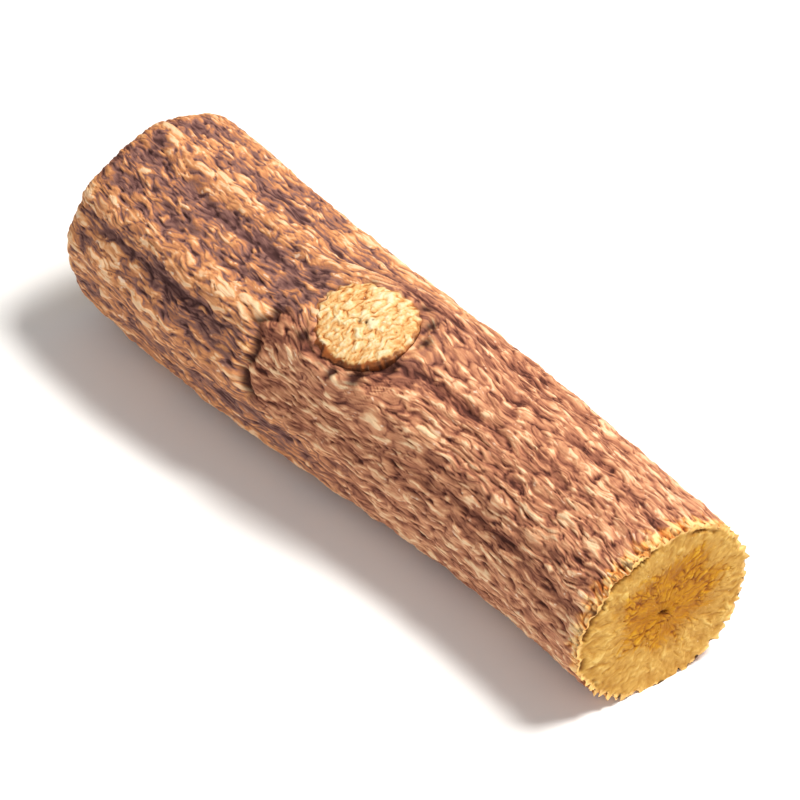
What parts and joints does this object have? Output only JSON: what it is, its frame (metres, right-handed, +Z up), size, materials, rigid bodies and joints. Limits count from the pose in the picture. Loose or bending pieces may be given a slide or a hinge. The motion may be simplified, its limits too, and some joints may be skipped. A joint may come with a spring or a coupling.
{
  "type": "licorice root",
  "caption": "Cut stick of dried licorice root with ridged bark, two saw-cut yellow ends and the scar of a side branch, lying on its side.",
  "frame": {"origin": "centre of the bounding box's underside, on the surface that the stick lies on", "axes": "+X along the stick towards its thinner cut end, +Z up, with the branch scar on the upper side"},
  "size_m": [0.0734, 0.0224, 0.0205],
  "materials": {
    "bark": "dry, ridged and scaly bark, matt",
    "cut_wood": "rough saw-cut wood, pale yellow with a golden heart, matt",
    "scar_wood": "torn fibrous wood of a cut side branch, cream, matt"
  },
  "bodies": {
    "root": {"licorice_root": "bark"}
  },
  "joints": []
}
